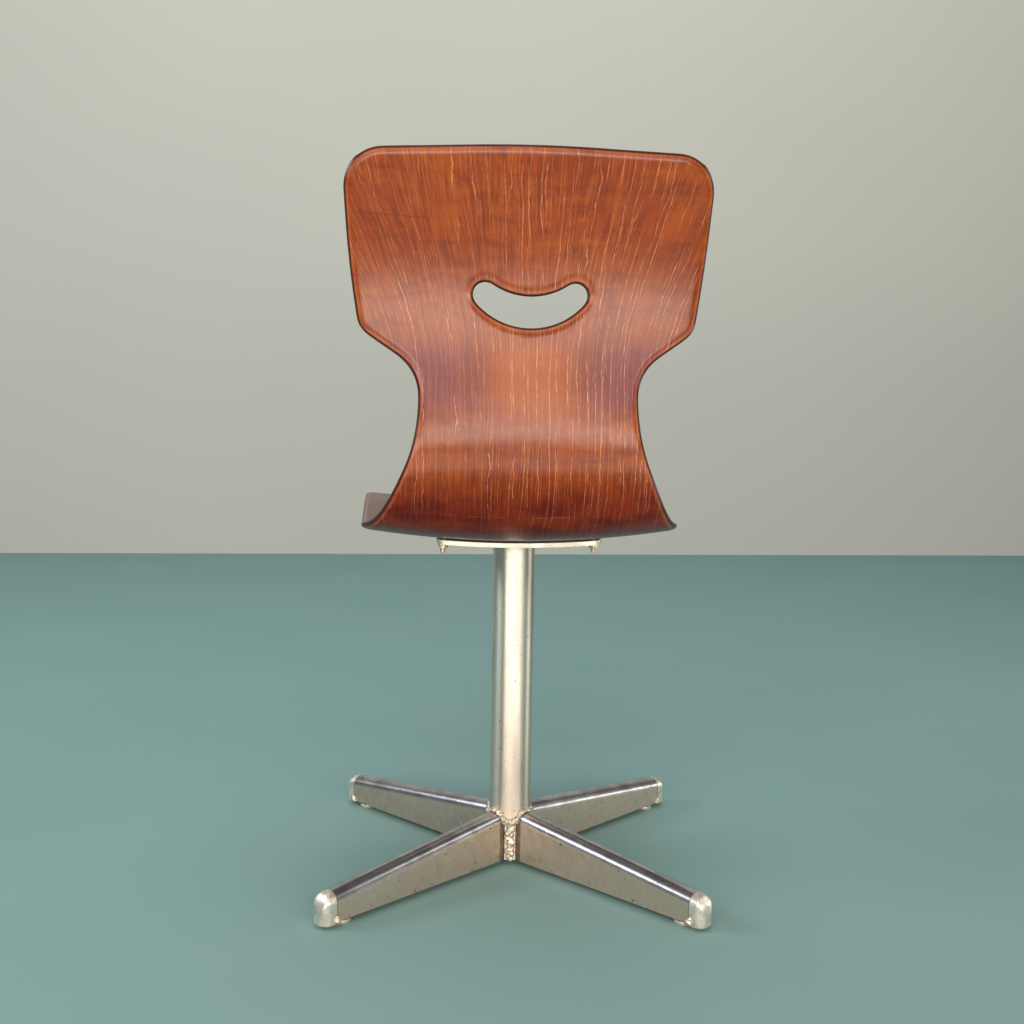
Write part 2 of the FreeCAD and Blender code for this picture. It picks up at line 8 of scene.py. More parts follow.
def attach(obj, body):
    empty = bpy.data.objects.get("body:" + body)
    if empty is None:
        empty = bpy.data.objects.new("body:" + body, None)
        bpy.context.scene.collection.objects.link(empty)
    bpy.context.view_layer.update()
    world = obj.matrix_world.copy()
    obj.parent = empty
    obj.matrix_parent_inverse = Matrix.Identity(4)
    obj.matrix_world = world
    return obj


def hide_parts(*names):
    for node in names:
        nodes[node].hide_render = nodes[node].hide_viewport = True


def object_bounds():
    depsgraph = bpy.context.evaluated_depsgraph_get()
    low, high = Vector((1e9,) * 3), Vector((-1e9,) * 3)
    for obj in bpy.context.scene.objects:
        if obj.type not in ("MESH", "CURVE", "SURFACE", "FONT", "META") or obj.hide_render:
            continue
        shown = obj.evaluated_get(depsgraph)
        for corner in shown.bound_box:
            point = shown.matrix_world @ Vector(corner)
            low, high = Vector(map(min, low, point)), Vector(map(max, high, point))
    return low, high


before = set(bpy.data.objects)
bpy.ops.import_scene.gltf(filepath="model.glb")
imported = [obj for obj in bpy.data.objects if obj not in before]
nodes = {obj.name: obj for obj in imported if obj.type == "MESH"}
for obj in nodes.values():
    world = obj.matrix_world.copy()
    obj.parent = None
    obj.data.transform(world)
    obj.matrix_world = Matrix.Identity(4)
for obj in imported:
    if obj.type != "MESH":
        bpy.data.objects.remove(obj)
cad_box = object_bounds()


# ---------------------------------------------------------------------------
# Seat shell. Seat and back are one sheet of plywood: a flat blank is trimmed to its outline,
# the smile-shaped hand-hold is cut, the edges are rounded over, and the blank is pressed to
# shape between moulds. It is stained red-brown and lacquered, with pale flecks in the veneer.

PLY_THICKNESS = 9.0
BLANK_LENGTH = 763.0
FRONT_Y, FRONT_Z, FRONT_SLOPE = -210.8, 409.1, 18.0
LIP = (-21.5, 0.0, 70.0)
HIP = (101.5, 241.5, 242.0)
LUMBAR = (-17.8, 505.0, 220.0)
FRONT_DISH, SEAT_DISH, BACK_DISH = 2.4e-4, 4.4e-4, 7.5e-4
SIDE_CORNERS = [(0, 179, 50), (298.5, 179.3, 50), (456.5, 119, 215), (528.5, 116.8, 53),
                (572, 181.3, 24), (640, 192.4, 900), (754, 200.2, 43)]
CROWN_RADIUS = 1500.0
BLANK_ROWS, BLANK_COLUMNS = 120, 60
EDGE_ROWS = (0.0, 2.2, 4.6, 7.8, 12.5)
FRONT_CORNER_S, TOP_CORNER_S = 14.6, 743.4
ROUNDED_OVER = 2.9
EASED_WIDTH, EASED_DEPTH = 8.5, 0.42
HOLD_LOW_S, HOLD_HEIGHT = 573.0, 33.0
HOLD_LOWER_RADIUS, HOLD_UPPER_RADIUS, HOLD_END_RADIUS = 77.0, 73.0, 13.0
HOLD_ROUGH_MARGIN, HOLD_RINGS = 12.0, (8.5, 4.8, 2.2, 0.0)
END_BOW_REACH = 90.0


def smooth(t):
    """Ease from 0 to 1 with level ends."""
    t = np.clip(t, 0.0, 1.0)
    return t * t * (3.0 - 2.0 * t)


def heading(s):
    """Angle of the pressed sheet's middle line above the horizontal."""
    angle = FRONT_SLOPE
    for turn, start, length in (LIP, HIP, LUMBAR):
        angle = angle + turn * smooth((s - start) / length)
    return np.radians(angle)


def dish(s):
    """How strongly the pressed sheet curves across."""
    front = FRONT_DISH + (SEAT_DISH - FRONT_DISH) * smooth(s / 150.0)
    return front + (BACK_DISH - SEAT_DISH) * smooth((s - 300.0) / 250.0)


def middle_line(s):
    """(y, z) of the middle line at distances s along it."""
    table = np.arange(-20.0, BLANK_LENGTH + 20.0, 0.5)
    middles = heading(table[:-1] + 0.25)
    y = np.concatenate([[0.0], np.cumsum(0.5 * np.cos(middles))])
    z = np.concatenate([[0.0], np.cumsum(0.5 * np.sin(middles))])
    y += FRONT_Y - np.interp(0.0, table, y)
    z += FRONT_Z - np.interp(0.0, table, z)
    return np.interp(s, table, y), np.interp(s, table, z)


def pressed(x, s, height):
    """Places in metres of points of the flat blank once it is pressed."""
    y, z = middle_line(s)
    rise = dish(s) * x * x + height
    return np.stack([x, y - np.sin(heading(s)) * rise, z + np.cos(heading(s)) * rise], 1) * 0.001


def rounded(corners, step=1.5):
    """Closed outline through rounded corners, as points."""
    points = []
    for index, (u, v, radius) in enumerate(corners):
        corner = Vector((u, v))
        before = (Vector(corners[index - 1][:2]) - corner).normalized()
        after = (Vector(corners[(index + 1) % len(corners)][:2]) - corner).normalized()
        half = before.angle(after) / 2.0
        centre = corner + (before + after).normalized() * radius / math.sin(half)
        first = corner + before * radius / math.tan(half) - centre
        last = corner + after * radius / math.tan(half) - centre
        sweep = first.angle_signed(last)
        for part in np.linspace(0.0, 1.0, max(3, int(abs(sweep) * radius / step))):
            turned = first.copy()
            turned.rotate(Matrix.Rotation(-sweep * part, 2))
            points.append(centre + turned)
    return np.array([tuple(point) for point in points])


def smile():
    """Outline of the hand-hold as (x, s) points, anticlockwise."""
    low, high = HOLD_LOWER_RADIUS, HOLD_HEIGHT + HOLD_UPPER_RADIUS
    low_reach, high_reach = HOLD_LOWER_RADIUS - HOLD_END_RADIUS, HOLD_UPPER_RADIUS + HOLD_END_RADIUS
    end_y = (high ** 2 - low ** 2 - high_reach ** 2 + low_reach ** 2) / (2.0 * (high - low))
    end_x = math.sqrt(low_reach ** 2 - (end_y - low) ** 2)
    low_angle = math.atan2(end_y - low, end_x)
    high_angle = math.atan2(high - end_y, -end_x)
    points = []
    for centre, radius, start, stop in (
        ((0.0, low), HOLD_LOWER_RADIUS, -math.pi - low_angle, low_angle),
        ((end_x, end_y), HOLD_END_RADIUS, low_angle, high_angle),
        ((0.0, high), HOLD_UPPER_RADIUS, high_angle - math.pi, -high_angle),
        ((-end_x, end_y), HOLD_END_RADIUS, math.pi - high_angle, math.pi - low_angle),
    ):
        for angle in np.linspace(start, stop, int(abs(stop - start) * radius) + 2)[:-1]:
            points.append((centre[0] + radius * math.cos(angle),
                           HOLD_LOW_S + centre[1] + radius * math.sin(angle)))
    return np.array(points)


def nearest(points, outline):
    """Index of the outline point nearest to every point."""
    return np.linalg.norm(points[:, None, :] - outline[None, :, :], axis=2).argmin(1)


def gap_to(points, outline):
    """Distance from every point to the nearest side of a closed outline."""
    best = np.full(len(points), np.inf)
    for start, end in zip(outline, np.roll(outline, -1, 0)):
        run = end - start
        part = np.clip((points - start) @ run / max(run @ run, 1e-9), 0.0, 1.0)
        best = np.minimum(best, np.linalg.norm(points - start - part[:, None] * run, axis=1))
    return best


def inside(points, outline):
    """Which points lie inside a closed outline."""
    x, y = points[:, 0:1], points[:, 1:2]
    x1, y1 = outline.T
    x2, y2 = np.roll(outline, -1, 0).T
    crosses = (y1 > y) != (y2 > y)
    left = x < (x2 - x1) * (y - y1) / np.where(y2 == y1, 1e-9, y2 - y1) + x1
    return (crosses & left).sum(1) % 2 == 1


def deselect():
    """Nothing is selected and nothing is active."""
    for item in bpy.context.selected_objects:
        item.select_set(False)


def start_piece(name):
    """Names the primitive just added and makes it the only selected object."""
    piece = bpy.context.object
    piece.name = piece.data.name = name
    return piece


def pick(piece, kind, wanted):
    """Selects faces, edges or vertices of a piece by a test, in edit mode, and nothing else."""
    bpy.ops.object.mode_set(mode="EDIT")
    bpy.ops.mesh.select_mode(type=kind)
    bpy.ops.mesh.select_all(action="DESELECT")
    bpy.ops.object.mode_set(mode="OBJECT")
    items = {"FACE": piece.data.polygons, "EDGE": piece.data.edges, "VERT": piece.data.vertices}[kind]
    for item in items:
        item.select = bool(wanted(item))
    bpy.ops.object.mode_set(mode="EDIT")


def finish_modifier(piece, kind, **settings):
    """Adds a modifier with its settings and applies it."""
    modifier = piece.modifiers.new(kind.title(), kind)
    for key, value in settings.items():
        setattr(modifier, key, value)
    bpy.ops.object.modifier_apply(modifier=modifier.name)


def coordinates(piece):
    """The vertices of a piece as an array."""
    values = np.empty(len(piece.data.vertices) * 3)
    piece.data.vertices.foreach_get("co", values)
    return values.reshape(-1, 3)


def move_to(piece, places):
    """Gives every vertex of a piece its new place."""
    piece.data.vertices.foreach_set("co", np.asarray(places, dtype=np.float64).ravel())
    piece.data.update()


outline = rounded([(s, x, r) for s, x, r in SIDE_CORNERS] + [(BLANK_LENGTH, 0.0, CROWN_RADIUS)]
                  + [(s, -x, r) for s, x, r in reversed(SIDE_CORNERS)])[:, ::-1]
hold = smile()

deselect()
bpy.ops.mesh.primitive_grid_add(x_subdivisions=BLANK_COLUMNS, y_subdivisions=BLANK_ROWS, size=2.0)
shell = start_piece("plywood_shell")

# Trim: the sides follow the outline, the end rows bow out to the front and top edges, and the
# outer rows and columns stand closer together to carry the eased edges.
def crowded(u, lines, reach):
    """Distance from the middle for grid lines u in -1..1, crowded towards the edge at reach."""
    index = np.abs(u) * lines / 2.0
    inner = lines / 2.0 - (len(EDGE_ROWS) - 1)
    outer = reach - np.interp(lines / 2.0 - index, range(len(EDGE_ROWS)), EDGE_ROWS)
    return np.sign(u) * np.where(index > inner, outer, index / inner * (reach - EDGE_ROWS[-1]))


flat = coordinates(shell)
side = outline[outline[:, 0] > 0]
side = side[np.argsort(side[:, 1])]
corner_low = side[np.argmin(abs(side[:, 1] - FRONT_CORNER_S))]
corner_high = side[np.argmin(abs(side[:, 1] - TOP_CORNER_S))]
half_length = (corner_high[1] - corner_low[1]) / 2.0
along = corner_low[1] + half_length + crowded(flat[:, 1], BLANK_ROWS, half_length)
across = crowded(flat[:, 0], BLANK_COLUMNS, np.interp(along, side[:, 1], side[:, 0]))
front_edge = outline[(outline[:, 1] < corner_low[1])]
front_edge = front_edge[np.argsort(front_edge[:, 0])]
top_edge = outline[(outline[:, 1] > corner_high[1])]
top_edge = top_edge[np.argsort(top_edge[:, 0])]
ease_low = 1.0 - smooth((along - corner_low[1]) / END_BOW_REACH)
ease_high = smooth((along - corner_high[1] + END_BOW_REACH) / END_BOW_REACH)
bow_front = np.interp(across, front_edge[:, 0], front_edge[:, 1]) - corner_low[1]
bow_top = np.interp(across, top_edge[:, 0], top_edge[:, 1]) - corner_high[1]
along += bow_front * ease_low + bow_top * ease_high
move_to(shell, np.stack([across, along, np.zeros_like(across)], 1))

# Hand-hold: the middle is cut away roughly and the cut edge is drawn in to the smile in four rings.
places = coordinates(shell)[:, :2]
near_hold = inside(places, hold) | (gap_to(places, hold) < HOLD_ROUGH_MARGIN)
pick(shell, "FACE", lambda face: any(near_hold[index] for index in face.vertices))
bpy.ops.mesh.delete(type="FACE")
bpy.ops.object.mode_set(mode="OBJECT")


def cut_edge_loop(piece):
    """Vertices round the inner cut of the flat blank, in order."""
    count = {}
    for face in piece.data.polygons:
        for key in face.edge_keys:
            count[key] = count.get(key, 0) + 1
    places = coordinates(piece)
    reach_of = {}
    for a, b in [key for key, uses in count.items() if uses == 1]:
        if abs(places[a][0]) < 90.0 and 540.0 < places[a][1] < 660.0:
            reach_of.setdefault(a, []).append(b)
            reach_of.setdefault(b, []).append(a)
    start = min(reach_of, key=lambda index: (places[index][1], abs(places[index][0])))
    loop = [start]
    before = None
    while True:
        options = [index for index in reach_of[loop[-1]] if index != before]
        before = loop[-1]
        if options[0] == start:
            return loop
        loop.append(options[0])


def relaxed_targets(places, target, growth):
    """For the ordered cut edge, evenly spread points on the hand-hold grown by a margin."""
    centre_next = np.roll(target, -1, 0) - np.roll(target, 1, 0)
    normal = np.stack([centre_next[:, 1], -centre_next[:, 0]], 1)
    normal /= np.linalg.norm(normal, axis=1)[:, None]
    grown = target + normal * growth
    length = np.concatenate([[0.0], np.cumsum(np.linalg.norm(np.roll(grown, -1, 0) - grown, axis=1))])
    station = length[nearest(places, grown)]
    direction = 1.0 if np.median((np.roll(station, -1) - station)) > 0 else -1.0
    station = np.unwrap(station * direction, period=length[-1])
    total = length[-1]
    for _ in range(60):
        before = np.concatenate([[station[-1] - total], station[:-1]])
        after = np.concatenate([station[1:], [station[0] + total]])
        station = 0.5 * station + 0.25 * (before + after)
    station = (station * direction) % total
    closed = np.vstack([grown, grown[:1]])
    return np.stack([np.interp(station, length, closed[:, axis]) for axis in (0, 1)], 1)


for margin in HOLD_RINGS:
    loop = cut_edge_loop(shell)
    loop_places = coordinates(shell)[loop][:, :2]
    members = set(loop)
    pick(shell, "EDGE", lambda edge: edge.vertices[0] in members and edge.vertices[1] in members)
    bpy.ops.mesh.extrude_edges_move()
    bpy.ops.object.mode_set(mode="OBJECT")
    loop = cut_edge_loop(shell)
    places = coordinates(shell)
    places[loop, :2] = relaxed_targets(places[loop][:, :2], hold, margin)
    move_to(shell, places)

# Thickness and rounded edges, while the blank is still flat.
deselect()
shell.select_set(True)
pick(shell, "FACE", lambda face: True)
bpy.ops.mesh.normals_make_consistent(inside=False)
bpy.ops.object.mode_set(mode="OBJECT")
if shell.data.polygons[0].normal.z < 0:
    pick(shell, "FACE", lambda face: True)
    bpy.ops.mesh.flip_normals()
    bpy.ops.object.mode_set(mode="OBJECT")
finish_modifier(shell, "SOLIDIFY", thickness=PLY_THICKNESS, offset=0.0, use_even_offset=True)
finish_modifier(shell, "BEVEL", width=ROUNDED_OVER, segments=3, limit_method="ANGLE",
                angle_limit=math.radians(60.0), use_clamp_overlap=False)
finish_modifier(shell, "SUBSURF", levels=1, render_levels=1)

# Veneer map: across and along the flat blank; depth in the ply; distance from the nearest edge.
flat = coordinates(shell)
edge_gap = np.minimum(gap_to(flat[:, :2], outline), gap_to(flat[:, :2], hold))
eased = 1.0 - EASED_DEPTH * np.clip(1.0 - edge_gap / EASED_WIDTH, 0.0, 1.0) ** 1.4
for name, values in (("ply_depth", flat[:, 2] / PLY_THICKNESS), ("edge_gap", edge_gap * 0.001)):
    attribute = shell.data.attributes.new(name, "FLOAT", "POINT")
    attribute.data.foreach_set("value", values)
veneer = shell.data.uv_layers.new(name="veneer") if not shell.data.uv_layers else shell.data.uv_layers[0]
veneer.name = "veneer"
corner_vertices = np.empty(len(shell.data.loops), dtype=np.int32)
shell.data.loops.foreach_get("vertex_index", corner_vertices)
veneer.data.foreach_set("uv", (flat[corner_vertices, :2] * 0.001).ravel())
move_to(shell, pressed(flat[:, 0], flat[:, 1], flat[:, 2] * eased))
bpy.ops.object.shade_smooth()


def finish_named(name, **sockets):
    """A new material and its shader; plain numbers are set on the shader's own sockets."""
    material = bpy.data.materials.new(name)
    material.use_nodes = True
    shader = material.node_tree.nodes["Principled BSDF"]
    for key, value in sockets.items():
        shader.inputs[key.replace("_", " ")].default_value = value
    return material, shader


def add(material, kind, inputs=(), **settings):
    """Adds a node; an input is a number, a colour or another node's output socket."""
    node = material.node_tree.nodes.new(kind)
    for key, value in settings.items():
        setattr(node, key, value)
    for key, value in dict(inputs).items():
        if isinstance(value, bpy.types.NodeSocket):
            material.node_tree.links.new(value, node.inputs[key])
        else:
            node.inputs[key].default_value = value
    return node


def link(material, output, socket):
    """Joins an output to an input."""
    material.node_tree.links.new(output, socket)


def sums(material, operation, *values):
    """A Math node's output."""
    node = add(material, "ShaderNodeMath", dict(enumerate(values)), operation=operation)
    return node.outputs[0]


def blend_colours(material, factor, first, second):
    """Colour mixed from two by a factor."""
    node = add(material, "ShaderNodeMix", {0: factor, 6: first, 7: second}, data_type="RGBA")
    return node.outputs[2]


def between(material, value, low, high, to_low=0.0, to_high=1.0):
    """Value mapped smoothly from one range to another."""
    node = add(material, "ShaderNodeMapRange", {0: value, 1: low, 2: high, 3: to_low, 4: to_high},
               interpolation_type="SMOOTHSTEP")
    return node.outputs[0]


def speckle(material, vector, scale, detail=2.0, roughness=0.5, distortion=0.0):
    """Noise pattern's value on a vector."""
    node = add(material, "ShaderNodeTexNoise", {"Vector": vector, "Scale": scale, "Detail": detail,
                                                "Roughness": roughness, "Distortion": distortion})
    return node.outputs[0]


def stretched(material, vector, scale, location=(0.0, 0.0, 0.0)):
    """Vector scaled and shifted axis by axis."""
    node = add(material, "ShaderNodeMapping", {"Vector": vector, "Scale": scale, "Location": location})
    return node.outputs[0]


def relief(material, shader, height, strength, distance):
    """Bump from a height pattern."""
    bump = add(material, "ShaderNodeBump", {"Height": height, "Strength": strength, "Distance": distance})
    link(material, bump.outputs[0], shader.inputs["Normal"])


def flecks(material, across, along, density, seed, width, spread, share):
    """Pale broken lines that run along the grain: one wavering line in each column of the veneer."""
    def spread_out(first, first_scale, second, second_scale):
        """Vector of two scaled values and the seed."""
        return add(material, "ShaderNodeCombineXYZ", {
            0: sums(material, "MULTIPLY", first, first_scale),
            1: sums(material, "MULTIPLY", second, second_scale), 2: seed}).outputs[0]

    drift = speckle(material, spread_out(across, 22.0, along, 16.0), 1.0, 4.0, 0.62)
    columns = sums(material, "ADD", sums(material, "MULTIPLY", across, density),
                   sums(material, "MULTIPLY", sums(material, "SUBTRACT", drift, 0.5), spread))
    columns = sums(material, "ADD", columns, seed)
    column = sums(material, "FLOOR", columns)
    scatter = add(material, "ShaderNodeTexWhiteNoise", {"W": column}, noise_dimensions="1D").outputs[0]
    centre = between(material, scatter, 0.0, 1.0, 0.2, 0.8)
    gap = sums(material, "ABSOLUTE", sums(material, "SUBTRACT", sums(material, "FRACT", columns), centre))
    run = spread_out(column, 3.73, along, 11.0)
    present = between(material, speckle(material, run, 1.0, 3.0, 0.6), 0.98 - share, 1.10 - share)
    beads = spread_out(column, 5.19, along, 95.0)
    beaded = between(material, speckle(material, beads, 1.0, 2.0, 0.6), 0.30, 0.66, 0.45, 1.0)
    reach = sums(material, "MULTIPLY", beaded, width * density)
    line = between(material, sums(material, "DIVIDE", gap, reach), 1.0, 0.35)
    return sums(material, "MULTIPLY", sums(material, "MULTIPLY", line, present), beaded)


def wood_finish():
    """Stained veneer: grain that fans out over the back, pale flecks, edges with wear and a painted
    highlight, dark ply edge; painted shade at the hip, the fold and the rim line, painted reflection and
    highlight at the waist.
    """
    wood, shader = finish_named("stained_veneer", Specular_IOR_Level=0.08, Coat_Weight=0.6,
                                Coat_Roughness=0.22)
    veneer_map = add(wood, "ShaderNodeUVMap", uv_map="veneer").outputs[0]
    parts = add(wood, "ShaderNodeSeparateXYZ", {0: veneer_map})
    across, along = parts.outputs[0], parts.outputs[1]
    fan = between(wood, along, 0.52, 0.80, 1.0, 1.62)
    sway = speckle(wood, stretched(wood, veneer_map, (26.0, 5.0, 1.0), (0.2, 0.6, 0.0)), 1.0, 2.0)
    grain_x = sums(wood, "ADD", sums(wood, "DIVIDE", across, fan), sums(wood, "MULTIPLY", sway, 0.009))
    grain = add(wood, "ShaderNodeCombineXYZ", {0: grain_x, 1: along}).outputs[0]

    cloud = speckle(wood, stretched(wood, veneer_map, (7.0, 6.0, 1.0), (0.4, 0.9, 0.0)), 1.0, 3.0, 0.5)
    broad = speckle(wood, stretched(wood, grain, (34.0, 3.2, 1.0)), 1.0, 3.0, 0.55)
    streaks = speckle(wood, stretched(wood, grain, (150.0, 8.0, 1.0)), 1.0, 4.0, 0.6)
    fine = speckle(wood, stretched(wood, grain, (560.0, 30.0, 1.0)), 1.0, 3.0, 0.6)
    stain = blend_colours(wood, between(wood, cloud, 0.36, 0.64),
                          (0.255, 0.032, 0.0, 1), (0.330, 0.056, 0.0, 1))
    stain = blend_colours(wood, between(wood, broad, 0.35, 0.68, 0.0, 0.42), stain, (0.165, 0.019, 0.0, 1))
    stain = blend_colours(wood, between(wood, streaks, 0.42, 0.70, 0.0, 0.48),
                          stain, (0.370, 0.088, 0.004, 1))
    stain = blend_colours(wood, between(wood, streaks, 0.46, 0.26, 0.0, 0.35),
                          stain, (0.130, 0.018, 0.003, 1))
    stain = blend_colours(wood, between(wood, fine, 0.46, 0.66, 0.0, 0.60), stain, (0.110, 0.014, 0.002, 1))
    ripple = speckle(wood, stretched(wood, veneer_map, (22.0, 70.0, 1.0), (0.7, 0.1, 0.0)), 1.0, 4.0, 0.6)
    stain = blend_colours(wood, between(wood, ripple, 0.50, 0.34, 0.0, 0.42), stain, (0.135, 0.015, 0.0, 1))
    stain = blend_colours(wood, between(wood, ripple, 0.54, 0.72, 0.0, 0.35), stain, (0.395, 0.098, 0.002, 1))

    # Purplish, darker sides of the waist: partly the stain's own tone, partly a painted reflection of bluish
    # surroundings.
    waist_tint_and_reflection = between(wood, sums(wood, "ABSOLUTE", across), 0.020, 0.105)
    waist_tint_and_reflection = sums(wood, "MULTIPLY", waist_tint_and_reflection, between(wood, along, 0.47, 0.505))
    waist_tint_and_reflection = sums(wood, "MULTIPLY", waist_tint_and_reflection, between(wood, along, 0.575, 0.535, 0.0, 0.75))
    stain = blend_colours(wood, waist_tint_and_reflection, stain, (0.170, 0.034, 0.050, 1))
    # Brighter orange middle of the waist: partly the stain's own tone, partly a painted highlight.
    middle = between(wood, sums(wood, "ABSOLUTE", across), 0.065, 0.015, 0.0, 0.55)
    middle = sums(wood, "MULTIPLY", middle, between(wood, along, 0.46, 0.50))
    middle = sums(wood, "MULTIPLY", middle, between(wood, along, 0.575, 0.535))
    stain = blend_colours(wood, middle, stain, (0.460, 0.110, 0.012, 1))
    # From the hip down, a darker red broken into patches: painted shade where the sheet turns down, away from
    # the light.
    patches = speckle(wood, stretched(wood, veneer_map, (16.0, 26.0, 1.0)), 1.0, 3.0, 0.6)
    painted_hip_shade = between(wood, along, 0.430, 0.372)
    painted_hip_shade_colour = blend_colours(wood, between(wood, patches, 0.38, 0.62),
                               (0.120, 0.003, 0.0, 1), (0.215, 0.018, 0.0, 1))
    stain = blend_colours(wood, painted_hip_shade, stain, painted_hip_shade_colour)
    # From the fold down, over the whole seat, a plain dark red-brown: painted shade where the sheet curves
    # under.
    painted_fold_shade = between(wood, along, 0.352, 0.320)
    stain = blend_colours(wood, painted_fold_shade, stain, (0.115, 0.006, 0.0, 1))

    near = flecks(wood, grain_x, along, 104.0, 3.0, 0.00046, 0.75, 0.56)
    far = flecks(wood, grain_x, along, 58.0, 11.0, 0.00056, 0.8, 0.52)
    faint = flecks(wood, grain_x, along, 190.0, 23.0, 0.00036, 1.2, 0.60)
    side = between(wood, sums(wood, "SUBTRACT", 0.01, across), -0.08, 0.02, 0.25, 1.0)
    marks = sums(wood, "MAXIMUM", sums(wood, "MULTIPLY", near, side), sums(wood, "MULTIPLY", far, 0.85))
    marks = sums(wood, "MAXIMUM", marks, sums(wood, "MULTIPLY", faint, 0.40))
    marks = sums(wood, "MULTIPLY", marks, between(wood, along, 0.33, 0.45, 0.22, 1.0))
    mark_colour = blend_colours(wood, between(wood, along, 0.60, 0.70),
                                (0.90, 0.46, 0.25, 1), (0.80, 0.36, 0.14, 1))
    strength = between(wood, along, 0.58, 0.66, 0.72, 0.56)
    stain = blend_colours(wood, sums(wood, "MULTIPLY", marks, strength), stain, mark_colour)

    crease = sums(wood, "ABSOLUTE", sums(wood, "SUBTRACT", along, 0.3665))
    broken = speckle(wood, stretched(wood, veneer_map, (60.0, 1.0, 1.0)), 1.0, 2.0)
    crease = sums(wood, "MULTIPLY", between(wood, crease, 0.0009, 0.0003), between(wood, broken, 0.42, 0.6))
    crease_reach = between(wood, sums(wood, "ABSOLUTE", across), 0.10, 0.07, 0.0, 0.5)
    crease = sums(wood, "MULTIPLY", crease, crease_reach)
    stain = blend_colours(wood, crease, stain, (0.42, 0.12, 0.04, 1))
    split_level = sums(wood, "ADD", 0.6795, sums(wood, "MULTIPLY", across, 0.05))
    split = sums(wood, "ABSOLUTE", sums(wood, "SUBTRACT", along, split_level))
    from_split = sums(wood, "ABSOLUTE", sums(wood, "SUBTRACT", across, 0.145))
    split = sums(wood, "MULTIPLY", between(wood, split, 0.0008, 0.0003),
                 between(wood, from_split, 0.042, 0.036, 0.0, 0.6))
    stain = blend_colours(wood, split, stain, (0.10, 0.018, 0.006, 1))

    gap = add(wood, "ShaderNodeAttribute", attribute_name="edge_gap").outputs["Fac"]
    # Paler band just inside every edge, broken by the ripple: partly rubbed stain, partly a painted highlight
    # on the rounded-over edge.
    rim_wear_and_highlight = sums(wood, "MULTIPLY", between(wood, gap, 0.0066, 0.0030),
                between(wood, ripple, 0.35, 0.60, 0.22, 0.50))
    rim_wear_and_highlight = sums(wood, "MULTIPLY", rim_wear_and_highlight, between(wood, gap, 0.0016, 0.0028))
    stain = blend_colours(wood, rim_wear_and_highlight, stain, (0.52, 0.175, 0.075, 1))
    # Dark line at the very edge of both faces: painted shade where the rounded edge turns away.
    stain = blend_colours(wood, between(wood, gap, 0.0032, 0.0016, 0.0, 0.9), stain, (0.075, 0.008, 0.003, 1))
    depth_value = add(wood, "ShaderNodeAttribute", attribute_name="ply_depth").outputs["Fac"]
    depth = sums(wood, "ABSOLUTE", depth_value)
    plies = add(wood, "ShaderNodeTexWave", {
        "Vector": add(wood, "ShaderNodeCombineXYZ", {
            0: depth_value, 1: sums(wood, "MULTIPLY", along, 0.6)}).outputs[0],
        "Scale": 1.1, "Distortion": 0.35, "Detail": 1.0}).outputs["Fac"]
    edge_colour = blend_colours(wood, plies, (0.022, 0.003, 0.002, 1), (0.070, 0.010, 0.005, 1))
    on_edge = between(wood, depth, 0.47, 0.36)
    colour = blend_colours(wood, on_edge, stain, edge_colour)
    link(wood, colour, shader.inputs["Base Color"])

    rough = sums(wood, "ADD", sums(wood, "MULTIPLY", streaks, 0.14), 0.34)
    link(wood, rough, shader.inputs["Roughness"])
    pores = sums(wood, "ADD", sums(wood, "MULTIPLY", fine, 0.5), sums(wood, "MULTIPLY", marks, 0.35))
    pores = sums(wood, "SUBTRACT", pores, sums(wood, "MULTIPLY", split, 0.8))
    relief(wood, shader, sums(wood, "ADD", pores, sums(wood, "MULTIPLY", plies, on_edge)), 0.08, 0.0006)
    return wood


def give(piece, material):
    """The piece has this one finish."""
    piece.data.materials.clear()
    piece.data.materials.append(material)


give(shell, wood_finish())
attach(shell, "seat")
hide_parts("seat_shell")


# ---------------------------------------------------------------------------
# Seat plate, with the spindle head and its weld. Plain sheet steel, cut square, never painted,
# with a cream-grey skin; the spindle's disc is welded to its underside.

def plate_finish():
    """Bare steel with a pale skin, scuffs and small stains."""
    steel, shader = finish_named("pale_plate_steel", Metallic=0.75)
    place = add(steel, "ShaderNodeTexCoord").outputs["Object"]
    cloud = speckle(steel, place, 38.0, 4.0, 0.6)
    scuff = speckle(steel, stretched(steel, place, (30.0, 420.0, 300.0)), 1.0, 3.0)
    colour = blend_colours(steel, between(steel, cloud, 0.35, 0.7),
                           (0.78, 0.72, 0.62, 1), (0.56, 0.50, 0.42, 1))
    colour = blend_colours(steel, between(steel, scuff, 0.62, 0.72, 0.0, 0.5), colour, (0.28, 0.19, 0.11, 1))
    link(steel, colour, shader.inputs["Base Color"])
    link(steel, between(steel, cloud, 0.3, 0.7, 0.30, 0.52), shader.inputs["Roughness"])
    relief(steel, shader, scuff, 0.15, 0.0004)
    return steel


pale_steel = plate_finish()
for name in ("seat_plate", "spindle_head"):
    give(nodes[name], pale_steel)


# ---------------------------------------------------------------------------
# Bolts, washers and nuts. Zinc-plated steel with a yellow passivation; the domed heads show
# on the sitter's face and the stud ends stand below the nuts.

def zinc_finish():
    """Yellow zinc plate over steel."""
    zinc, shader = finish_named("yellow_zinc", Metallic=1.0)
    place = add(zinc, "ShaderNodeTexCoord").outputs["Object"]
    cloud = speckle(zinc, place, 260.0, 3.0)
    colour = blend_colours(zinc, between(zinc, cloud, 0.35, 0.65),
                           (0.74, 0.66, 0.50, 1), (0.30, 0.23, 0.14, 1))
    link(zinc, colour, shader.inputs["Base Color"])
    link(zinc, between(zinc, cloud, 0.3, 0.7, 0.22, 0.42), shader.inputs["Roughness"])
    relief(zinc, shader, cloud, 0.1, 0.0003)
    return zinc


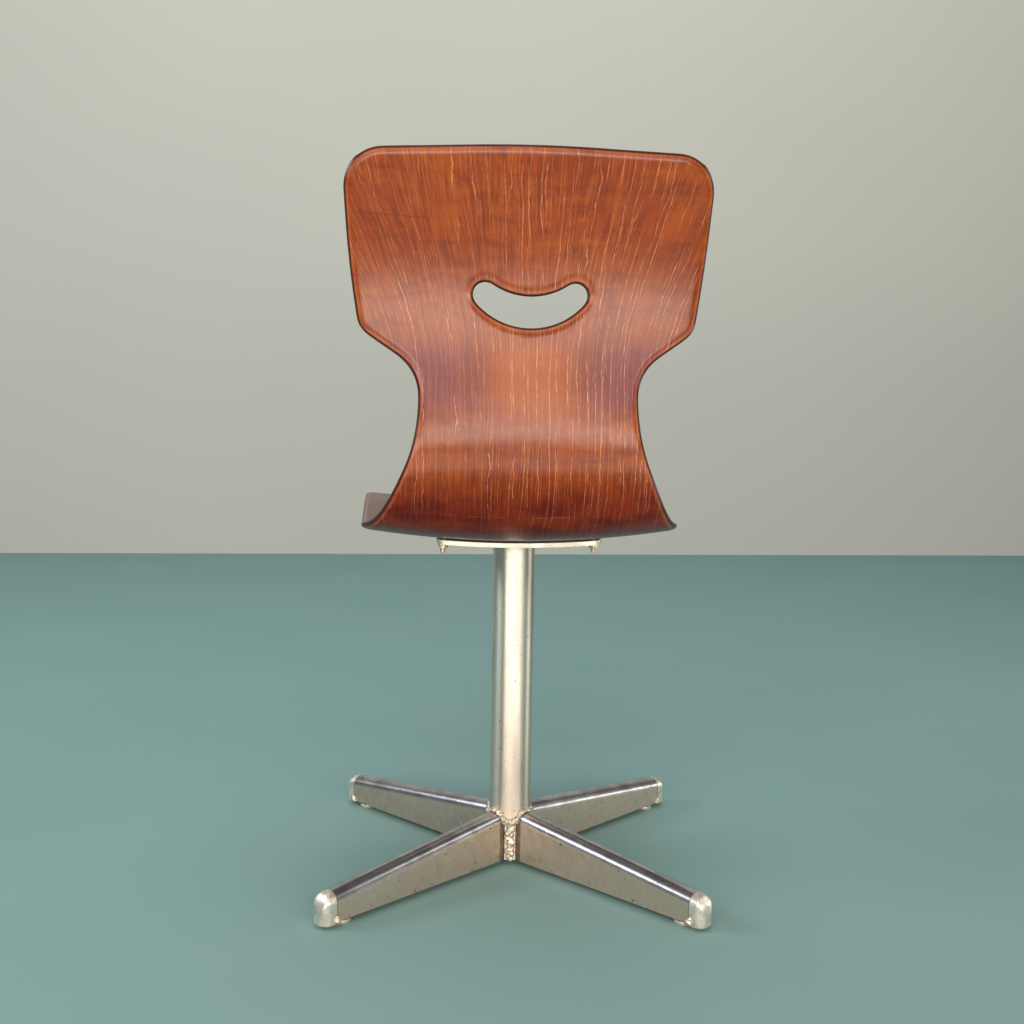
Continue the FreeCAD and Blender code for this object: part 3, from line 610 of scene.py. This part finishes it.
yellow_zinc = zinc_finish()
for name in ("seat_bolts", "seat_washers", "seat_nuts"):
    give(nodes[name], yellow_zinc)


# ---------------------------------------------------------------------------
# Swivel parts inside the column: nylon bushes, a hard thrust washer, the turned spindle and
# its retaining washer and circlip. They are hardly seen, and have plain working finishes.

def turned_finish(name, pale, dark, roughness):
    """Turned or rolled steel with fine rings round the swivel axis."""
    steel, shader = finish_named(name, Metallic=1.0)
    place = add(steel, "ShaderNodeTexCoord").outputs["Object"]
    rings = speckle(steel, stretched(steel, place, (6.0, 6.0, 2200.0)), 1.0, 2.0)
    link(steel, blend_colours(steel, rings, pale, dark), shader.inputs["Base Color"])
    link(steel, between(steel, rings, 0.3, 0.7, roughness, roughness + 0.15), shader.inputs["Roughness"])
    relief(steel, shader, rings, 0.08, 0.0002)
    return steel


def nylon_finish():
    """Natural nylon, slightly waxy."""
    nylon, shader = finish_named("natural_nylon", Roughness=0.45, Subsurface_Weight=0.1)
    place = add(nylon, "ShaderNodeTexCoord").outputs["Object"]
    cloud = speckle(nylon, place, 120.0, 3.0)
    colour = blend_colours(nylon, cloud, (0.72, 0.68, 0.58, 1), (0.60, 0.55, 0.45, 1))
    link(nylon, colour, shader.inputs["Base Color"])
    relief(nylon, shader, cloud, 0.05, 0.0003)
    return nylon


bright_turned = turned_finish("turned_steel", (0.66, 0.65, 0.63, 1), (0.45, 0.44, 0.42, 1), 0.25)
blued_spring = turned_finish("blued_spring_steel", (0.12, 0.12, 0.14, 1), (0.05, 0.05, 0.07, 1), 0.35)
for name in ("spindle_tube", "thrust_washer", "retaining_washer"):
    give(nodes[name], bright_turned)
give(nodes["circlip"], blued_spring)
natural_nylon = nylon_finish()
for name in ("upper_bush", "lower_bush"):
    give(nodes[name], natural_nylon)


# ---------------------------------------------------------------------------
# Column. Drawn steel tube, nickel-plated long ago: the plate is worn to a warm grey, hazy along its length,
# with small dark pits; its faint rings of wear near the foot are not drawn.

def nickel_finish():
    """Old nickel plate on a tube."""
    nickel, shader = finish_named("old_nickel_tube", Metallic=1.0, Anisotropic=0.85,
                                  Anisotropic_Rotation=0.25)
    link(nickel, add(nickel, "ShaderNodeTangent", direction_type="RADIAL", axis="Z").outputs[0],
         shader.inputs["Tangent"])
    place = add(nickel, "ShaderNodeTexCoord").outputs["Object"]
    haze = speckle(nickel, stretched(nickel, place, (34.0, 34.0, 5.0)), 1.0, 4.0, 0.6)
    drawn = speckle(nickel, stretched(nickel, place, (900.0, 900.0, 14.0)), 1.0, 2.0)
    pits = speckle(nickel, place, 330.0, 2.0, 0.4)
    colour = blend_colours(nickel, between(nickel, haze, 0.35, 0.7),
                           (0.84, 0.78, 0.68, 1), (0.62, 0.54, 0.46, 1))
    colour = blend_colours(nickel, between(nickel, pits, 0.70, 0.76), colour, (0.10, 0.07, 0.05, 1))
    link(nickel, colour, shader.inputs["Base Color"])
    rough = sums(nickel, "ADD", between(nickel, haze, 0.3, 0.75, 0.36, 0.48),
                 sums(nickel, "MULTIPLY", drawn, 0.06))
    link(nickel, rough, shader.inputs["Roughness"])
    relief(nickel, shader, sums(nickel, "SUBTRACT", drawn, between(nickel, pits, 0.68, 0.76)), 0.06, 0.0004)
    return nickel


give(nodes["column_tube"], nickel_finish())


# ---------------------------------------------------------------------------
# Arms. Each is a strip of sheet steel folded to an inverted channel with a round top, falling towards its
# end. The plate has a polish on the rounded tops and is dull and stained on the flanks; the tops' blue-grey
# is partly a painted reflection, and the dark rings by the weld and the caps are partly painted shade in the
# gaps.

CORNERS = ("rear_left", "rear_right", "front_right", "front_left")


def arm_finish():
    """Worn plate: a polish, with a blue-grey that is partly painted reflection, where the normal points up;
    brown-grey and streaked on the flanks; dark rings of grime and painted gap shade by the weld and the caps.
    """
    steel, shader = finish_named("worn_arm_plate", Metallic=1.0)
    coordinates_in = add(steel, "ShaderNodeTexCoord")
    place = coordinates_in.outputs["Object"]
    upward = add(steel, "ShaderNodeSeparateXYZ", {0: coordinates_in.outputs["Normal"]}).outputs[2]
    polish_and_reflection = between(steel, upward, 0.02, 0.30)
    streak = speckle(steel, stretched(steel, place, (90.0, 90.0, 60.0)), 1.0, 4.0, 0.6)
    blotch = speckle(steel, place, 42.0, 4.0, 0.6)
    flank = blend_colours(steel, between(steel, streak, 0.3, 0.7),
                          (0.69, 0.595, 0.50, 1), (0.51, 0.43, 0.36, 1))
    flank = blend_colours(steel, between(steel, blotch, 0.55, 0.75, 0.0, 0.6), flank, (0.74, 0.60, 0.46, 1))
    # Blue-grey on the up-facing tops: partly the polish, partly a painted reflection of what lies above.
    top = blend_colours(steel, between(steel, blotch, 0.35, 0.7),
                        (0.48, 0.48, 0.52, 1), (0.30, 0.29, 0.31, 1))
    colour = blend_colours(steel, polish_and_reflection, flank, top)
    rust = speckle(steel, place, 210.0, 2.0, 0.4)
    colour = blend_colours(steel, between(steel, rust, 0.69, 0.76), colour, (0.13, 0.07, 0.03, 1))
    # Dark rings where the arms meet the weld and the caps: partly grime, partly painted shade in the gaps.
    radial = add(steel, "ShaderNodeVectorMath", {
        0: stretched(steel, place, (1.0, 1.0, 0.0))}, operation="LENGTH").outputs["Value"]
    dirt_and_gap_shade = sums(steel, "MAXIMUM", between(steel, radial, 0.0336, 0.0316),
                between(steel, radial, 0.2786, 0.2793))
    colour = blend_colours(steel, sums(steel, "MULTIPLY", dirt_and_gap_shade, 0.6), colour, (0.030, 0.018, 0.012, 1))
    link(steel, colour, shader.inputs["Base Color"])
    smoothness = between(steel, streak, 0.3, 0.7, 0.42, 0.56)
    rough = add(steel, "ShaderNodeMix", {0: polish_and_reflection, 2: smoothness, 3: 0.28}).outputs[0]
    link(steel, rough, shader.inputs["Roughness"])
    relief(steel, shader, streak, 0.03, 0.0004)
    return steel


arm_plate = arm_finish()
for corner in CORNERS:
    give(nodes[corner + "_arm"], arm_plate)


# ---------------------------------------------------------------------------
# End caps. Castings that plug and cover the ends of the arms, scratched bright by shoes.

def cap_finish():
    """Bright casting with a net of scratches."""
    cast, shader = finish_named("scratched_casting", Metallic=0.9)
    place = add(cast, "ShaderNodeTexCoord").outputs["Object"]
    cloud = speckle(cast, place, 90.0, 4.0, 0.6)
    scratch = speckle(cast, stretched(cast, place, (160.0, 500.0, 60.0)), 1.0, 3.0, 0.6, 1.2)
    colour = blend_colours(cast, between(cast, cloud, 0.42, 0.62),
                           (0.95, 0.90, 0.80, 1), (0.60, 0.54, 0.46, 1))
    colour = blend_colours(cast, between(cast, scratch, 0.56, 0.66, 0.0, 0.7), colour, (0.86, 0.82, 0.72, 1))
    link(cast, colour, shader.inputs["Base Color"])
    link(cast, between(cast, cloud, 0.3, 0.7, 0.34, 0.52), shader.inputs["Roughness"])
    relief(cast, shader, scratch, 0.15, 0.0004)
    return cast


scratched_casting = cap_finish()
for corner in CORNERS:
    give(nodes[corner + "_end_cap"], scratched_casting)


# ---------------------------------------------------------------------------
# Glides and the strips that hold them. Worn plated discs on stems, under strips welded
# across the channels.

for corner in CORNERS:
    give(nodes[corner + "_glide"], pale_steel)
    give(nodes[corner + "_glide_bridge"], pale_steel)


# ---------------------------------------------------------------------------
# Welds. Hand-laid beads in the corners between the arms and round the arms' tops, lumpy,
# bright and pitted with dark specks.

def weld_finish():
    """Bright rough weld metal with dark pits."""
    weld, shader = finish_named("bright_weld", Metallic=0.7)
    place = add(weld, "ShaderNodeTexCoord").outputs["Object"]
    lumps = speckle(weld, place, 170.0, 4.0, 0.7)
    pits = speckle(weld, place, 420.0, 2.0, 0.5)
    colour = blend_colours(weld, between(weld, lumps, 0.35, 0.65),
                           (0.88, 0.82, 0.70, 1), (0.55, 0.47, 0.36, 1))
    colour = blend_colours(weld, between(weld, pits, 0.60, 0.68), colour, (0.10, 0.07, 0.04, 1))
    link(weld, colour, shader.inputs["Base Color"])
    link(weld, between(weld, lumps, 0.3, 0.7, 0.3, 0.55), shader.inputs["Roughness"])
    relief(weld, shader, sums(weld, "SUBTRACT", lumps, pits), 0.6, 0.0015)
    return weld


WELD_VOXEL, RIPPLE_SIZE, RIPPLE_HEIGHT = 0.0009, 0.003, 0.0026


def lumpy(name, lumps):
    """Balls of weld metal, run together and roughened; each is x, y, z and radius in millimetres."""
    deselect()
    balls = []
    for x, y, z, radius in lumps:
        bpy.ops.mesh.primitive_ico_sphere_add(subdivisions=2, radius=radius * 0.001,
                                              location=(x * 0.001, y * 0.001, z * 0.001))
        balls.append(bpy.context.object)
    for ball in balls:
        ball.select_set(True)
    bpy.context.view_layer.objects.active = balls[0]
    bpy.ops.object.join()
    bpy.ops.object.transform_apply(location=True, rotation=True, scale=True)
    piece = start_piece(name)
    finish_modifier(piece, "REMESH", mode="VOXEL", voxel_size=WELD_VOXEL)
    ripple = bpy.data.textures.new(name + "_ripple", "CLOUDS")
    ripple.noise_scale = RIPPLE_SIZE
    ripple.noise_depth = 2
    finish_modifier(piece, "DISPLACE", texture=ripple, texture_coords="LOCAL",
                    strength=RIPPLE_HEIGHT, mid_level=0.5)
    bpy.ops.object.shade_smooth()
    return piece


def about_axis(angle, distance, offset):
    """Point at a distance along a direction from the axis and an offset across it."""
    turn = math.radians(angle)
    return (distance * math.cos(turn) - offset * math.sin(turn),
            distance * math.sin(turn) + offset * math.cos(turn))


BASE_TURN = 41.6
CORNER_STEPS, CORNER_RISE, CORNER_FOOT, CORNER_REACH, CORNER_BALL = 21, 2.25, 9.5, 25.6, 4.3
COLLAR_STEPS, COLLAR_CENTRE, COLLAR_RADIUS, COLLAR_REACH, COLLAR_BALL = 13, 54.3, 12.7, 26.6, 3.5
TACK_OFFSET = 12.9
TACK_BALLS = ((279.2, 9.0, 2.9), (281.0, 7.4, 2.4), (277.2, 7.6, 2.6), (280.0, 12.2, 2.0))
hub_lumps, tack_lumps = [], []
for quarter in range(4):
    arm_angle = BASE_TURN + 90.0 * quarter
    # Up the corner between two arms; the sines sway the bead from side to side.
    for step in range(CORNER_STEPS):
        sway = math.sin(2.9 * step + quarter)
        x, y = about_axis(arm_angle + 45.0, CORNER_REACH + 0.8 * sway,
                          2.2 * math.sin(4.4 * step + 2.0 * quarter))
        hub_lumps.append((x, y, CORNER_FOOT + CORNER_RISE * step,
                          CORNER_BALL + 0.8 * math.sin(5.1 * step + quarter)))
    # Over the round top of the arm.
    for step in range(COLLAR_STEPS):
        bend = math.pi * step / (COLLAR_STEPS - 1)
        sway = math.sin(2.3 * step + 1.9 * quarter)
        offset = (COLLAR_RADIUS + 0.5 * sway) * math.cos(bend)
        x, y = about_axis(arm_angle, math.sqrt(COLLAR_REACH ** 2 - offset ** 2), offset)
        hub_lumps.append((x, y, COLLAR_CENTRE + (COLLAR_RADIUS + 0.5 * sway) * math.sin(bend),
                          COLLAR_BALL + 0.5 * sway))
    # At the lower ends of the seams between cap and arm.
    for side in (-1, 1):
        for distance, height, radius in TACK_BALLS:
            x, y = about_axis(arm_angle, distance, side * TACK_OFFSET)
            tack_lumps.append((x, y, height, radius))

bright_weld = weld_finish()
give(nodes["head_weld"], bright_weld)
for name, lumps, stands_for in (("hub_weld_beads", hub_lumps, "hub_welds"),
                                ("cap_tack_beads", tack_lumps, "cap_tacks")):
    beads = lumpy(name, lumps)
    give(beads, bright_weld)
    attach(beads, "base")
    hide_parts(stands_for)


# ---------------------------------------------------------------------------
# Studio: a plain pale floor, soft lights and the camera.

FLOOR_SIZE = 14.0
BACKDROP_Y = -2.43
SEAT_TURN = math.radians(5.0)
CAMERA_DISTANCE, CAMERA_HEIGHT = 1.6185, 0.6257
CAMERA_AIM = math.radians(-0.11)
CAMERA_PITCH = math.radians(-7.005)
CAMERA_ROLL = math.radians(0.9)
CAMERA_LENS = 48.29

deselect()
bpy.ops.mesh.primitive_plane_add(size=FLOOR_SIZE, location=(0, 0, cad_box[0][2]))
floor = start_piece("studio_floor")
floor_paint, floor_shader = finish_named("floor_paint", Roughness=0.6, Specular_IOR_Level=0.0)
floor_place = add(floor_paint, "ShaderNodeTexCoord").outputs["Object"]
floor_cloud = speckle(floor_paint, floor_place, 3.0, 4.0)
link(floor_paint, blend_colours(floor_paint, floor_cloud, (0.23, 0.385, 0.38, 1), (0.265, 0.42, 0.415, 1)),
     floor_shader.inputs["Base Color"])
give(floor, floor_paint)

deselect()
bpy.ops.mesh.primitive_plane_add(size=FLOOR_SIZE, location=(0, BACKDROP_Y, FLOOR_SIZE / 2.0 - 0.5),
                                 rotation=(math.pi / 2.0, 0, 0))
backdrop = start_piece("studio_backdrop")
backdrop_paint, backdrop_shader = finish_named("backdrop_paint", Roughness=0.8)
backdrop_place = add(backdrop_paint, "ShaderNodeTexCoord").outputs["Object"]
backdrop_cloud = speckle(backdrop_paint, backdrop_place, 1.2, 4.0)
backdrop_colour = blend_colours(backdrop_paint, backdrop_cloud, (0.55, 0.56, 0.52, 1), (0.60, 0.60, 0.56, 1))
link(backdrop_paint, backdrop_colour, backdrop_shader.inputs["Base Color"])
give(backdrop, backdrop_paint)

world = bpy.data.worlds.new("studio")
world.use_nodes = True
world.node_tree.nodes["Background"].inputs[0].default_value = (0.60, 0.63, 0.64, 1)
world.node_tree.nodes["Background"].inputs[1].default_value = 0.22
bpy.context.scene.world = world


def softbox(name, place, target, size, power, colour, lights_matt=True):
    """Rectangular soft light that faces a point."""
    bpy.ops.object.light_add(type="AREA", location=place)
    lamp = bpy.context.object
    lamp.name = name
    lamp.data.shape = "RECTANGLE"
    lamp.data.size, lamp.data.size_y = size
    lamp.data.energy = power
    lamp.data.color = colour
    lamp.visible_camera = False
    lamp.visible_diffuse = lights_matt
    lamp.rotation_euler = (Vector(target) - Vector(place)).to_track_quat("-Z", "Y").to_euler()


softbox("key_light", (0.3, 1.8, 2.1), (0, 0, 0.5), (1.2, 0.9), 13.0, (1.0, 0.93, 0.82))
softbox("window_light", (0.1, 3.0, 0.97), (0.1, 0, 0.97), (6.0, 0.54), 116.0, (1.0, 0.86, 0.75))
softbox("side_light", (2.4, 0.0, 1.5), (0, 0, 0.1), (1.4, 0.6), 21.0, (0.96, 0.98, 1.0))
softbox("far_side_light", (-2.4, 0.2, 1.4), (0, 0, 0.1), (0.9, 0.4), 5.0, (1.0, 0.95, 0.86))
softbox("top_light", (0.0, -0.4, 2.4), (0, 0, 0.4), (1.6, 1.6), 12.0, (0.93, 0.96, 1.0))
softbox("backdrop_light", (0.0, -1.2, 2.7), (0, BACKDROP_Y, 2.1), (5.0, 0.6), 26.0, (1.0, 0.99, 0.95))
softbox("low_light", (-0.4, 1.25, 0.235), (-0.4, 0, 0.235), (3.6, 0.37), 12.0, (1.0, 0.94, 0.84), False)
softbox("low_far_light", (-2.2, -0.15, 0.28), (0, -0.1, 0.1), (0.8, 0.4), 4.6, (1.0, 0.93, 0.84))

bpy.ops.object.camera_add(location=(CAMERA_DISTANCE * math.sin(SEAT_TURN),
                                    CAMERA_DISTANCE * math.cos(SEAT_TURN), CAMERA_HEIGHT))
camera = bpy.context.object
camera.name = "studio_camera"
aim = SEAT_TURN + CAMERA_AIM
look = Vector((-math.sin(aim) * math.cos(CAMERA_PITCH), -math.cos(aim) * math.cos(CAMERA_PITCH),
               math.sin(CAMERA_PITCH)))
level = look.to_track_quat("-Z", "Y").to_matrix()
camera.rotation_euler = (level @ Matrix.Rotation(CAMERA_ROLL, 3, "Z")).to_euler()
camera.data.lens = CAMERA_LENS
camera.data.sensor_width = 36.0
bpy.context.scene.camera = camera
bpy.context.scene.view_settings.view_transform = "Standard"
